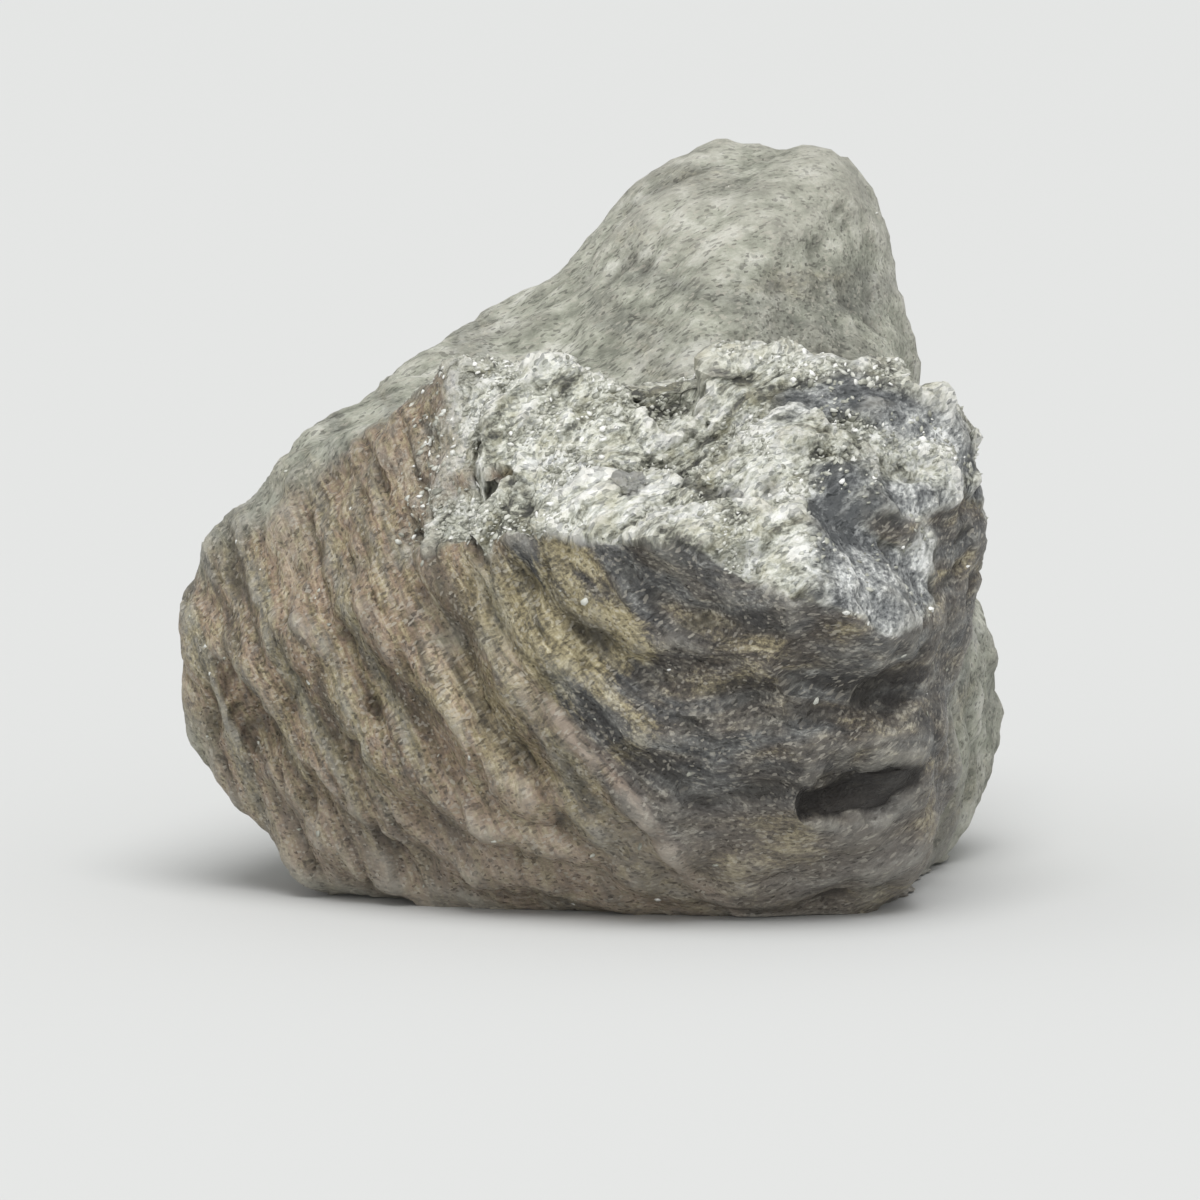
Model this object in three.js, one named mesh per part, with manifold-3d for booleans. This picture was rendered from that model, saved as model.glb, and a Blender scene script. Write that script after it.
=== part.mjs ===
// A rough emerald stone: one broken lump of emerald-bearing mica schist, as big as a large walnut. Thin
// sheets of mica run through the whole lump. At the front it has split along them, which leaves a bright
// stepped face above a sharp lip. Below the lip the break cuts across the sheets, and their edges stand
// out as ridges. A worn, rounded lobe rises at the back.
//
// Millimetres, +Z up. +X is to the right and +Y away from someone who looks at the broken front. The
// origin is the middle of the stone's box, on the surface that it rests on.
import * as THREE from "three";
import { ConvexHull } from "three/addons/math/ConvexHull.js";
import { ImprovedNoise } from "three/addons/math/ImprovedNoise.js";
import { mergeVertices } from "three/addons/utils/BufferGeometryUtils.js";
import Module from "manifold-3d";

// Driving dimensions of the whole stone
const WIDTH = 43.5; // X, across the broken front
const LENGTH = 50; // Y, from the lip to the back
const HEIGHT = 38; // Z, from the resting face to the top of the rear lobe

// How finely the surface is divided: each edge of an icosahedron is cut at this many places
const DETAIL = 22;

// The stone's heart: every point of the surface is seen from here. It lies near the front, so that the
// broken faces there get the smaller triangles.
const HEART = new THREE.Vector3(-1, -7, 14);

// Corners of the broken faces, in order along the feature that names them, as x, y, z on a stone of the
// driving sizes
const CORNERS = {
  lip: [
    [-8, -18, 18.5],
    [-4, -21.5, 20],
    [2, -24, 20],
    [6, -25, 19.5],
    [9, -25.5, 18],
    [11.5, -25.5, 16.5],
    [15.5, -24, 14.5],
  ],
  crevice_behind_lip: [
    [-5, -18.5, 22],
    [1.5, -21, 21.5],
    [6, -22, 21.5],
    [11.5, -22, 21],
  ],
  split_slope: [
    [-3, -17.5, 24.5],
    [3.5, -18, 22.5],
    [8.5, -18, 24.5],
    [12.5, -19, 23.5],
    [14, -15, 26],
  ],
  crest: [
    [-9, -9, 25.5],
    [-7, -13, 27.5],
    [-1.5, -14, 28],
    [1, -14.5, 27],
    [3.5, -14.5, 24],
    [5.5, -14.5, 26],
    [7.5, -14, 28.5],
    [10.5, -13, 28.5],
    [14, -12, 27.5],
    [17.5, -12, 26],
  ],
  right_facet: [
    [17.5, -17, 21],
    [19.5, -12, 22.5],
    [20.5, -12, 19.5],
    [20, -11, 17],
    [17.5, -18, 16.5],
    [17, -19, 14],
  ],
  right_underside: [
    [15.5, -21.5, 11.5],
    [17.5, -17, 9],
    [17, -18.5, 6.5],
    [17.5, -15, 3],
    [16, -16, 1.5],
  ],
  dark_face: [
    [2.5, -23.5, 15],
    [9, -25, 13],
    [6, -23.5, 8],
    [11.5, -24, 7],
    [7, -20, 2.5],
  ],
  ridged_face: [
    [-12.5, -11, 20.5],
    [-15, -12, 15.5],
    [-17, -13, 13],
    [-13, -15, 14],
    [-13.5, -14.5, 7.5],
    [-9, -18, 11],
    [-7.5, -18.5, 16],
    [-3.5, -21, 11.5],
    [-6, -18.5, 5],
    [1, -22, 6.5],
  ],
  left_edge: [
    [-15.5, -5, 22.5],
    [-20, -6, 18],
    [-21.5, -7, 13.5],
    [-20.5, -8, 8.5],
    [-18.5, -9, 4.5],
    [-15.5, -10, 1],
  ],
  saddle: [
    [-5, -6, 24],
    [3.5, -6, 22.5],
    [10, -5, 24.5],
    [16.5, -2, 23],
  ],
  rear_slope: [
    [-3, 5, 27.5],
    [5, 6, 27.5],
    [12, 6, 28],
  ],
  skyline: [
    [-13, 2, 25],
    [-8.5, 7, 28],
    [-2.5, 12, 31.5],
    [2, 14, 35],
    [6, 14.5, 38],
    [10, 15, 39.3],
    [13.2, 15.5, 39.3],
    [15.8, 15.5, 36.5],
    [17.2, 15, 33],
    [18, 14, 29.5],
    [18.5, 11, 25.5],
  ],
  lobe_top: [
    [5.5, 18, 37.5],
    [9.5, 19, 39.3],
    [13, 19, 39.2],
    [16, 18.5, 35],
    [8, 22.5, 36.2],
    [12.3, 22.5, 36.2],
  ],
  right_flank: [
    [18, -7, 13.5],
    [20.5, 4, 14],
    [22.5, 7, 9],
    [22, 7, 4],
    [18, -8, 6],
    [18.5, 13, 18],
    [17.5, 17, 8],
  ],
  left_flank: [
    [-17, 3, 17],
    [-18, 2, 8],
    [-12, 12, 19],
    [-13, 11, 8],
  ],
  back: [
    [9, 25, 31],
    [14.5, 23, 29],
    [2, 21, 28],
    [13, 24, 21],
    [4, 25.5, 16],
    [-5, 19.5, 15],
    [11, 23, 7],
    [0, 22, 6],
  ],
  footprint: [
    [-13, -10.5, -0.7],
    [-8.5, -13, -0.7],
    [-2, -15, -0.7],
    [5, -17, -0.7],
    [13, -16, -0.7],
    [16.5, -6, -0.7],
    [18, 5, -0.7],
    [12, 14, -0.7],
    [3, 17, -0.7],
    [-6, 12, -0.7],
    [-12, 3, -0.7],
    [-13.5, -5, -0.7],
    [2, 0, -1],
  ],
};

// The mica sheets lean back from the front, and this points out of them
const SHEET_NORMAL = new THREE.Vector3(0.1, -0.87, 0.48).normalize();
const SHEET_THICKNESS = 2.9;
const SHEET_WANDER = { size: 11, height: 1.6 }; // how the sheets are bent
const SHEET_EDGE = { least: 0.05, usual: 0.12, varies: 0.2, over: 9 }; // how far a sheet's edge stands out

// Where the edges of the sheets stand out most: by this much up to near, and no longer beyond far
const RIDGED = { middle: new THREE.Vector3(-9, -16, 7), near: 6, far: 15, height: 0.5 };

// The stone is split along the sheets where its surface faces as they do. The cosine of the angle
// between the two says where that begins and where it is complete. The steps there are this share of a
// sheet's thickness high, and their rise takes this share of their length.
const SPLIT = { begins: 0.75, complete: 0.92, share: 0.45, rise: 0.5 };

// Hollows where grains have dropped out. Each is a bowl about a place on the surface, with its length
// along the direction given.
const HOLLOWS = [
  { at: [14.2, -22.5, 7.3], along: [1, 0, 0.28], length: 8.5, width: 3.2, depth: 3 },
  { at: [15.2, -22, 12], along: [0.6, 0, 1], length: 4, width: 3, depth: 1.8 },
  { at: [11, -25, 11.5], along: [1, 0, 0], length: 2.6, width: 1.6, depth: 0.8 },
  { at: [-5, -19, 22.4], along: [1, 0, 0.1], length: 3, width: 1.6, depth: 1 },
  { at: [1.2, -21.5, 22.2], along: [1, 0, 0.3], length: 3.6, width: 1.4, depth: 1.1 },
  { at: [5.6, -22.4, 22.2], along: [1, 0, 0], length: 4.6, width: 1.4, depth: 1.2 },
  { at: [-17.5, -11, 9.3], along: [0.5, 0, -1], length: 5, width: 2, depth: 1.2 },
];
const HOLLOW_STEEPNESS = 0.7; // below 1 the bowls have steep sides

// How round the edges are between the broken faces: fresh in front of the first y, worn behind the second
const FRESH_EDGE = { y: -16, radius: 0.5 };
const WORN_EDGE = { y: 14, radius: 2.2 };
const WEAR_RING = 6; // places about a point that an edge is rounded over

// Lumps that cover the whole surface
const GRAIN = [
  { size: 5, height: 0.5 },
  { size: 2.4, height: 0.35 },
];

// How far the broken edges stray from straight lines, and over what size, seen from the heart
const STRAY = { size: 0.3, share: 0.03 };

// Layers of noise, each a part of one endless pattern that lies this far from the last
const LAYER_SHIFT = new THREE.Vector3(17.3, 5.1, 9.7);
const BENT_SHEETS = 1;
const SHEET_EDGES = 2;
const STRAYED_EDGES = [3, 4, 5];
const SURFACE_GRAIN = 6;

const { lerp, smoothstep } = THREE.MathUtils;
const noise = new ImprovedNoise();

// Smooth noise of about -1 to 1 at a point, with lumps of the given size. Each layer has its own lumps.
function lumps(point, size, layer) {
  const { x, y, z } = point.clone().divideScalar(size).addScaledVector(LAYER_SHIFT, layer);
  return noise.noise(x, y, z);
}

// The flat faces between the corners. A corner's neighbours are those that it has on a ball about the
// heart.
function brokenFaces() {
  const corners = Object.values(CORNERS)
    .flat()
    .map((corner) => new THREE.Vector3(...corner));
  const onBall = corners.map((corner) => corner.clone().sub(HEART).normalize());
  const hull = new ConvexHull().setFromPoints(onBall);
  const cornerOf = (edge) => corners[onBall.indexOf(edge.head().point)];
  return hull.faces.map(({ edge }) => [edge, edge.next, edge.next.next].map(cornerOf));
}

// Where the line from the heart in a direction leaves the broken faces
function leaves(faces, direction) {
  const ray = new THREE.Ray(HEART, direction);
  const found = new THREE.Vector3();
  for (const [a, b, c] of faces) {
    if (ray.intersectTriangle(a, b, c, false, found)) {
      return found;
    }
  }
  throw new Error("the broken faces leave a gap");
}

// How far the worn surface is from the heart in a direction: the mean over a small ring, which rounds
// the edges off
function wornReach(faces, direction) {
  const sharp = leaves(faces, direction);
  const reaches = [sharp.distanceTo(HEART)];
  const worn = smoothstep(sharp.y, FRESH_EDGE.y, WORN_EDGE.y);
  const radius = lerp(FRESH_EDGE.radius, WORN_EDGE.radius, worn);
  const side = new THREE.Vector3(0, 0, 1).cross(direction).setLength(radius / reaches[0]);
  for (let turn = 0; turn < WEAR_RING; turn += 1) {
    const beside = side.clone().applyAxisAngle(direction, (turn / WEAR_RING) * 2 * Math.PI);
    reaches.push(leaves(faces, beside.add(direction).normalize()).distanceTo(HEART));
  }
  return reaches.reduce((sum, reach) => sum + reach, 0) / reaches.length;
}

// How far the mica sheets stand out at a point: their edges as round crests where the surface cuts
// across them, and steps from one sheet to the next where it is split along them
function sheetRelief(point, facing) {
  const bent = point.dot(SHEET_NORMAL) + SHEET_WANDER.height * lumps(point, SHEET_WANDER.size, BENT_SHEETS);
  const sheet = bent / SHEET_THICKNESS;
  const ridged = 1 - smoothstep(point.distanceTo(RIDGED.middle), RIDGED.near, RIDGED.far);
  const varied = SHEET_EDGE.usual + SHEET_EDGE.varies * lumps(point, SHEET_EDGE.over, SHEET_EDGES);
  const crest = Math.max(varied + RIDGED.height * ridged, SHEET_EDGE.least) * Math.cos(2 * Math.PI * sheet);
  const along = sheet - Math.floor(sheet);
  const risen = smoothstep(along, 0.5 - SPLIT.rise / 2, 0.5 + SPLIT.rise / 2);
  const step = SPLIT.share * SHEET_THICKNESS * (risen - along);
  return lerp(crest, step, smoothstep(facing, SPLIT.begins, SPLIT.complete));
}

// How deep the hollows are at a point
function hollowDepth(point) {
  let depth = 0;
  for (const hollow of HOLLOWS) {
    const away = point.clone().sub(new THREE.Vector3(...hollow.at));
    const along = away.dot(new THREE.Vector3(...hollow.along).normalize());
    const across = Math.sqrt(Math.max(away.lengthSq() - along * along, 0));
    const share = (2 * along / hollow.length) ** 2 + (2 * across / hollow.width) ** 2;
    depth += hollow.depth * Math.max(1 - share, 0) ** HOLLOW_STEEPNESS;
  }
  return depth;
}

// How far the lumps that cover the surface stand out at a point
function grain(point) {
  return GRAIN.reduce((sum, { size, height }) => sum + height * lumps(point, size, SURFACE_GRAIN), 0);
}

// A direction turned a little aside, so that the broken edges aren't straight
function strayed(direction) {
  const aside = STRAYED_EDGES.map((layer) => STRAY.share * lumps(direction, STRAY.size, layer));
  return direction.clone().add(new THREE.Vector3(...aside)).normalize();
}

// The rough surface: an even ball of points, each moved out along its own direction
function roughSurface() {
  const faces = brokenFaces();
  const ball = new THREE.IcosahedronGeometry(1, DETAIL);
  ball.deleteAttribute("normal");
  ball.deleteAttribute("uv");
  const surface = mergeVertices(ball);
  const position = surface.getAttribute("position");
  const direction = new THREE.Vector3();
  for (let i = 0; i < position.count; i += 1) {
    direction.fromBufferAttribute(position, i).normalize();
    const point = direction.clone().multiplyScalar(wornReach(faces, strayed(direction))).add(HEART);
    const relief = sheetRelief(point, direction.dot(SHEET_NORMAL)) + grain(point) - hollowDepth(point);
    point.addScaledVector(direction, relief);
    position.setXYZ(i, point.x, point.y, point.z);
  }
  return surface;
}

const wasm = await Module();
wasm.setup();

function solidOf(geometry) {
  return new wasm.Manifold(
    new wasm.Mesh({
      numProp: 3,
      vertProperties: new Float32Array(geometry.getAttribute("position").array),
      triVerts: new Uint32Array(geometry.index.array),
    }),
  );
}

function geometryOf(solid) {
  const { vertProperties, triVerts } = solid.getMesh();
  const geometry = new THREE.BufferGeometry();
  geometry.setAttribute("position", new THREE.BufferAttribute(new Float32Array(vertProperties), 3));
  geometry.setIndex(new THREE.BufferAttribute(new Uint32Array(triVerts), 1));
  return geometry;
}

// Breaks the underside off flat at the height of the resting face
function withRestingFace(surface) {
  const side = 4 * LENGTH;
  const under = new THREE.BoxGeometry(side, side, side).translate(0, 0, -side / 2);
  under.deleteAttribute("normal");
  under.deleteAttribute("uv");
  return geometryOf(solidOf(surface).subtract(solidOf(mergeVertices(under))));
}

// Brings the stone to its driving sizes, with the origin in the middle of its underside
function toSize(geometry) {
  geometry.computeBoundingBox();
  const { min, max } = geometry.boundingBox;
  geometry.translate(-(min.x + max.x) / 2, -(min.y + max.y) / 2, -min.z);
  geometry.scale(WIDTH / (max.x - min.x), LENGTH / (max.y - min.y), HEIGHT / (max.z - min.z));
  return geometry;
}

const schist = new THREE.MeshStandardMaterial({
  color: new THREE.Color(0.4, 0.39, 0.34),
  roughness: 0.7,
  metalness: 0,
  flatShading: true,
});

const roughEmerald = new THREE.Mesh(toSize(withRestingFace(roughSurface())), schist);
roughEmerald.name = "rough_emerald";

const stone = new THREE.Group();
stone.add(roughEmerald);

export default stone;
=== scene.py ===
# Looks of a rough emerald stone: one broken lump of grey-green mica schist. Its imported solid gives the
# form. This script divides that surface finely, gives it the relief and colours of schist, and sets
# mica flakes in it.
import math

import bmesh
import bpy
import numpy as np
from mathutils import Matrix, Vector, noise


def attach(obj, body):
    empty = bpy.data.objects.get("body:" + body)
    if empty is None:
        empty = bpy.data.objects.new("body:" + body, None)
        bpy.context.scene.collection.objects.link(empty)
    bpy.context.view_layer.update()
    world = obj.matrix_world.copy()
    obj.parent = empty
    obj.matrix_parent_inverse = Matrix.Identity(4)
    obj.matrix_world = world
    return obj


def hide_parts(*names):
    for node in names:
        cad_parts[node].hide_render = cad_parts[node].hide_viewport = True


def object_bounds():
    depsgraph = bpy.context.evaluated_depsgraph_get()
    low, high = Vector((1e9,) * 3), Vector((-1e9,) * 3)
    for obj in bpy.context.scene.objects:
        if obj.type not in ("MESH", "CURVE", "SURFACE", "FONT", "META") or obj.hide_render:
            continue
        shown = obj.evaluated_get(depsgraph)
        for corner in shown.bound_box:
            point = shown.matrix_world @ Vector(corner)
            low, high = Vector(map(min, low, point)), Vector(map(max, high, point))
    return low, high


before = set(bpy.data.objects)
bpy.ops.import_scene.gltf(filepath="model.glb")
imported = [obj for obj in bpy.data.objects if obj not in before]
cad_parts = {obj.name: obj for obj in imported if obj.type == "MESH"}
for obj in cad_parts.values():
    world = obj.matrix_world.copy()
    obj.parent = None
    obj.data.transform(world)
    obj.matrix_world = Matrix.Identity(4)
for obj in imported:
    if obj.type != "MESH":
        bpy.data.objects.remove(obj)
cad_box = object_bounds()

# Sizes and places are in mm, unless a comment says otherwise or they are multiplied by this
MM = 0.001
STONE = "rough_emerald"

# Camera: a long lens a little above the stone, which looks along +Y
CAMERA_DISTANCE = 330 * MM
CAMERA_ELEVATION = math.radians(6)
CAMERA_TARGET = Vector((0, 0, 14.3)) * MM
CAMERA_SENSOR = 36
CAMERA_LENS = 188.1
CAMERA_NEAREST = 10 * MM

# Stage, in metres: a wide pale floor, and soft light from all round, from above and from the front
FLOOR_HALF = 9
FLOOR_COLOUR = (0.6, 0.607, 0.6, 1)
ROOM_COLOUR = (1, 1, 1, 1)
ROOM_LIGHT = 0.62
OVERHEAD_LIGHT = 2.3
OVERHEAD_FROM = (0.05, -0.4, 1)
OVERHEAD_SPREAD = math.radians(45)
FRONT_LIGHT = 1.5
FRONT_FROM = (-0.15, -0.9, 0.1)
FRONT_CARD = (1, 0.18)

# Surface: points this near are one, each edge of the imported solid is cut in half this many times,
# points below this height rest on the floor, facets are rounded off this often, and edges sharper than
# this angle stay sharp
SAME_PLACE = 0.001
CUTS = 2
RESTING_HEIGHT = 0.01
ROUNDING = 6
SHARP_ANGLE = math.radians(38)

# Relief and sharpened edges fade in between these heights
RELIEF_FADE = (0, 1.2)
SHARPEN_FADE = (1, 4)

# Noise: each layer is a part of one endless pattern and lies this far from the last
LAYER_SHIFT = 17.3

# The stone's fabric: the way out of its mica sheets, and the way its flakes are drawn out within them
SHEET_NORMAL = np.array((0.1, -0.87, 0.48))
SHEET_NORMAL /= np.linalg.norm(SHEET_NORMAL)
GRAIN_ALONG = np.array((0.85, 0.357, 0.47))
GRAIN_ALONG -= SHEET_NORMAL * (GRAIN_ALONG @ SHEET_NORMAL)
GRAIN_ALONG /= np.linalg.norm(GRAIN_ALONG)
GRAIN_ACROSS = np.cross(SHEET_NORMAL, GRAIN_ALONG)

# The streaks of the front fan out from steep on the left to level on the right. Seen from the front:
# their slope in the middle of the fan, how much it changes to each side, where the middle is and how
# wide the fan is
FAN_SLOPE = -1.15
FAN_CHANGE = 1.25
FAN_MIDDLE = -1
FAN_WIDTH = 9

# Bends of the sheets and streaks, and the wander of borders, as noises with size, layer and height
SHEET_BENDS = ((13, 1, 1.0), (3, 2, 0.06))
STREAK_BENDS = ((7, 24, 1.3), (2.5, 25, 0.6))
WANDER = ((4, 3, 1.0), (1.5, 17, 0.4))

# Rounds of blurring for the directions that the stone's sides face
FACING_ROUNDS = 12

# Borders from here on: how far each wanders, where it starts and where it ends. Worn stone lies behind
# one in y, which broad noise of a size and layer bends and which comes forward at the right. The top
# behind the crest and whatever faces back are worn as well
WORN_BROAD = (9, 22)
WORN_BROAD_WANDER = 0.5
WORN_BORDER = (5, -9, 14)
WORN_RIGHT = 10
WORN_RIGHT_FORWARD = 0.8
WORN_TOP_FACING = (0.2, 0.25, 0.6)
WORN_TOP_BORDER = (1, -9, -5)
WORN_BACK_FACING = (0.05, 0.3)
WORN_ROUNDS = 250
WORN_EDGE = (0.45, 0.1, 0.9)

# The split face: it faces up, lies in front of the crest, above the lip and right of the ridged left
SPLIT_FACING = (0.1, 0.16, 0.34)
SPLIT_CREST = (1, -9, -6)
SPLIT_LIP = (0.3, -1, 0.2)
SPLIT_LEFT = (2.4, -10.5, -5.5)

# The lip below the split face, as x and z
LIP = ((-10, 18.5), (-4, 19.6), (2, 19.8), (6, 19.2), (9, 17.8), (11.5, 16.2), (15.5, 14.2), (20, 13))

# The darker rim of the split face: just above the lip near the front, and along the top
RIM_LIP = (0.5, 1.2, 2.6)
RIM_FRONT = (-14, -18)
RIM_TOP = (0.6, 25.5, 27.5)

# Grey slate on the right of the split face: patches of noise with size and layer, and all of its foot
SLATE_RIGHT = (1.5, 8.5, 11.5)
SLATE_PATCHES = ((3, 5, 2.2), 28)
SLATE_PATCH_EDGE = (0.3, -0.2, 0.2)
SLATE_FOOT = (1, 21, 23)

# The foot of the stone is painted paler by height: painted light that stands in for light bounced up from
# below
FOOT_BOUNCE_LIGHT_TOP = (1, 2, 9)

# A pinkish seam runs down the front from one x and z to another. The front is ridged to the left of it
SEAM_TOP = (-4.4, 14)
SEAM_FOOT = (6.8, 0.3)
SEAM_WIDTH = 0.4
SEAM_WANDER = 0.5
SEAM_START = (-0.1, 0.1)
SEAM_RISE = 0.3
RIDGED_EDGE = (0.8, -0.3, 1.2)

# Where the front is stained olive, and how far
OLIVE_MIDDLE = (-3.6, -20, 14.5)
OLIVE_REACH = (6.8, 9, 6.5)
OLIVE_EDGE = (0.45, 0.4, 1.2)

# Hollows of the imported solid, which are made crisper here. As seen from the front: place, direction of
# the length, then length, width and depth
HOLLOWS = (
    ((13.3, 7), (1, 0.28), 7.4, 3.3, 0.5),
    ((15, 12.1), (0.6, 1), 3.8, 1.9, 0.15),
    ((10.8, 11.3), (1, -0.3), 3, 1.4, 0.13),
    ((-4.8, 22.3), (1, 0.1), 2.6, 0.9, 0.08),
    ((1.2, 22), (1, 0.25), 3.2, 0.9, 0.13),
    ((5.6, 22), (1, 0), 4, 0.9, 0.13),
)

# They lie in front of this y. Their outlines are almonds of this power with ragged edges, their walls
# take this share of the way to the middle, and shade is painted in them between these depths
HOLLOW_BACK = -14
HOLLOW_POWER = 1.6
HOLLOW_CHIPS = ((1.2, 3, 0.8), 21, 0.25)
HOLLOW_LUMPS = (1.4, 23, 0.3)
HOLLOW_WALL = 0.4
HOLLOW_SHADE_DEPTHS = (0.03, 0.2)

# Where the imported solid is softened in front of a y: x and z, how far about them and how often
SMOOTHED_BACK = -5
SMOOTHED_SHARE = 0.9
SMOOTHED = (
    ((13.8, 7), 4, 90),
    ((15, 12), 2.5, 60),
    ((-5, 22.4), 2.6, 160),
    ((1.2, 22.2), 2.4, 50),
    ((5.6, 22.2), 2.4, 50),
    ((3.2, 26.6), 3, 120),
)

# The ridged left is softened by this share, this often
RIDGED_SMOOTHED_SHARE = 0.5
RIDGED_SMOOTHED_ROUNDS = 40

# The right shoulder of the split face stands out: its x and z, how far about it, the move, and where it
# ends in y
SHOULDER_MIDDLE = (16.5, 25)
SHOULDER_REACH = 3
SHOULDER_MOVE = (1.7, 0, -0.85)
SHOULDER_BACK = (-9, -4)

# The top of the rear lobe is smoothed and raised above these heights
LOBE_TOP = (31, 35)
LOBE_ROUNDS = 40
LOBE_RISE = 0.7

# Edges and hollows are brought out by this share, less on the split face and on the ridged left
SHARPEN_ROUNDS = 60
SHARPEN_SHARE = 0.4
SHARPEN_LESS_SPLIT = 0.25
SHARPEN_LESS_RIDGED = 0.2

# Slate is smoother than the rest of the split face by this share
SLATE_SMOOTHER = 0.75

# Broken blocks of stone, lower where it is worn or ridged. Chips have size, layer and height throughout
BLOCKS = (((9, 7, 4.5), 12, 0.5), ((4.5, 3.2, 2.2), 18, 0.4))
BLOCKS_LOWER = 0.5

# Ledges with ragged edges on the split face: thickness of the sheets and share of it
ANGULAR = ((3, 2.2, 1.5), 4, 1.0)
LEDGE_ANGULAR = 0.6
LEDGE_CHIPS = ((1.2, 0.9, 0.7), 11, 0.2)
LEDGES = ((2.4, 0.8), (0.8, 0.5))
LEDGE_STEP = 0.25

# Ridges have round crests of this power, sink this deep between them, and come and go with noise
RIDGE_POWER = 0.7
RIDGE_SINK = 0.6
BREAK_LAYER = 13
BREAK_MEAN = 0.6
BREAK_CHANGE = 1.1
BREAK_MOST = 1.4

# Ribs along the sheets of worn stone: spacing, how far chips shift them and height. Then its chips and
# dents
WORN_RIBS = ((1.3, 0.15, 0.12), (0.6, 0.12, 0.09))
WORN_BREAKS = (6, 4, 1.8)
WORN_CHIPS = ((4, 1.6, 0.7), 15, 0.21)
WORN_DENTS = ((3.5, 10, 0.25), (1.6, 16, 0.15))

# Ridges along the streaks of the front: spacing, height on the ridged left and on the plain right. Then
# its chips
FRONT_SHIFT = 0.35
FRONT_RIDGES = ((5.6, 0.4, 0.1), (2.3, 0.12, 0.08))
FRONT_BREAKS = (5, 4, 5)
FRONT_CHIPS = (((4, 3, 4), 15, 0.35), ((1.8, 1.5, 1.8), 26, 0.16))

# Fine chips: their share on any stone, and how much more on the split face, on worn stone and on the
# ridged left
FINE_CHIPS = (
    (((2.2, 1.5, 1), 19, 0.2), (0.5, 0.5, 0.5, 0.3)),
    (((1.1, 0.7, 0.5), 5, 0.12), (0.6, 0.9, 0, 0)),
    (((0.6, 0.4, 0.3), 6, 0.07), (0.8, 1.2, 0, 0)),
)

# Pits shaped like lenses: size and layer of their noise, where in it they start and end, and depth. The
# ridged left has shallower ones, and none lie about the largest hollow, at this x and z
SPLIT_PITS = ((3.5, 1.6, 0.6), 8, (0.35, 0.6), 0.21)
FRONT_PITS = ((2.6, 1.6, 2.6), 27, (0.3, 0.6), 0.4)
RIDGED_PITS = 0.7
UNPITTED_MIDDLE = (10.5, 6.8)
UNPITTED_REACH = 4

# Grooves and crests: how far a point lies below or above the mean of those about it, after these rounds
# of blurring. Shade is painted into the grooves, and crests are painted paler, partly for worn edges and
# partly as a painted highlight
NEAR_ROUNDS = 8
NEAR_SHARE = 0.6
NEAR_BEND = (0.03, 0.2)
WIDE_ROUNDS = 60
WIDE_SHARE = 0.5
WIDE_GROOVE = (0.15, 0.7)
WIDE_CREST = (0.15, 0.6)

# Patterns of colour in each frame of the stone: waves a mm along, across and through, detail and
# roughness
PATTERNS = {
    "fabric": {
        "streaks": ((0.4, 1.1, 3.4), 6, 0.65),
        "specks": ((3, 4.5, 6), 5, 0.7),
        "patches": ((0.16, 0.2, 0.34), 4, 0.6),
        "blotches": ((0.6, 0.75, 0.9), 5, 0.65),
    },
    "streaks": {
        "threads": ((0.45, 1.5, 0.5), 6, 0.68),
        "grains": ((1.4, 1.1, 1.4), 6, 0.7),
        "lenses": ((0.16, 0.4, 0.2), 4, 0.55),
        "bands": ((0.05, 0.26, 0.08), 3, 0.5),
        "shadows": ((0.24, 0.6, 0.3), 4, 0.6),
    },
}

# Masks of the surface, and sums of patterns and masks, each with its share
MASKS = ("low", "rim", "hollow", "split", "worn", "ridged", "slate", "olive", "seam", "groove_shade", "crest")
SUMS = {
    "split_grain": (("streaks", 0.6), ("specks", 0.4)),
    "front_grain": (("threads", 0.55), ("specks", 0.45)),
    "banded_grain": (("front_grain", 0.55), ("bands", 0.45)),
    "worn_grain": (("split_grain", 0.18), ("blotches", 0.48), ("patches", 0.34)),
    "stains": (("lenses", 1.0), ("front_grain", 0.8), ("olive", 0.3)),
    "tints": (("shadows", 1.0), ("olive", 0.15)),
    "bumps": (("streaks", 1.0), ("specks", 0.6)),
}

# Kinds of stone: colours from dark grains to light ones, and the part of the sums that they run over
GRAIN_RANGE = (0.38, 0.62)
BANDED_RANGE = (0.39, 0.61)
WORN_RANGE = (0.4, 0.6)
BLUE_GREY = (
    (0, (0.034, 0.035, 0.036)),
    (0.4, (0.1, 0.101, 0.1)),
    (0.7, (0.185, 0.188, 0.178)),
    (1, (0.42, 0.42, 0.395)),
)
BROWN = (
    (0, (0.036, 0.03, 0.024)),
    (0.4, (0.11, 0.094, 0.076)),
    (0.7, (0.2, 0.176, 0.136)),
    (1, (0.42, 0.385, 0.31)),
)
TAN = (
    (0, (0.09, 0.075, 0.042)),
    (0.4, (0.28, 0.238, 0.135)),
    (0.7, (0.46, 0.4, 0.245)),
    (1, (0.66, 0.61, 0.46)),
)
MAUVE = (
    (0, (0.082, 0.058, 0.037)),
    (0.3, (0.195, 0.145, 0.088)),
    (0.5, (0.305, 0.22, 0.15)),
    (0.75, (0.42, 0.315, 0.225)),
    (1, (0.57, 0.465, 0.345)),
)
SILVER = (
    (0, (0.08, 0.08, 0.07)),
    (0.25, (0.3, 0.3, 0.245)),
    (0.5, (0.62, 0.625, 0.54)),
    (0.75, (0.86, 0.865, 0.8)),
    (1, (0.98, 0.98, 0.95)),
)
SLATE_GREY = (
    (0, (0.09, 0.096, 0.1)),
    (0.4, (0.27, 0.28, 0.283)),
    (0.7, (0.5, 0.51, 0.5)),
    (1, (0.9, 0.91, 0.9)),
)
DULL_GREEN = (
    (0, (0.22, 0.23, 0.182)),
    (0.35, (0.34, 0.35, 0.283)),
    (0.6, (0.46, 0.468, 0.388)),
    (1, (0.66, 0.66, 0.585)),
)
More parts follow.
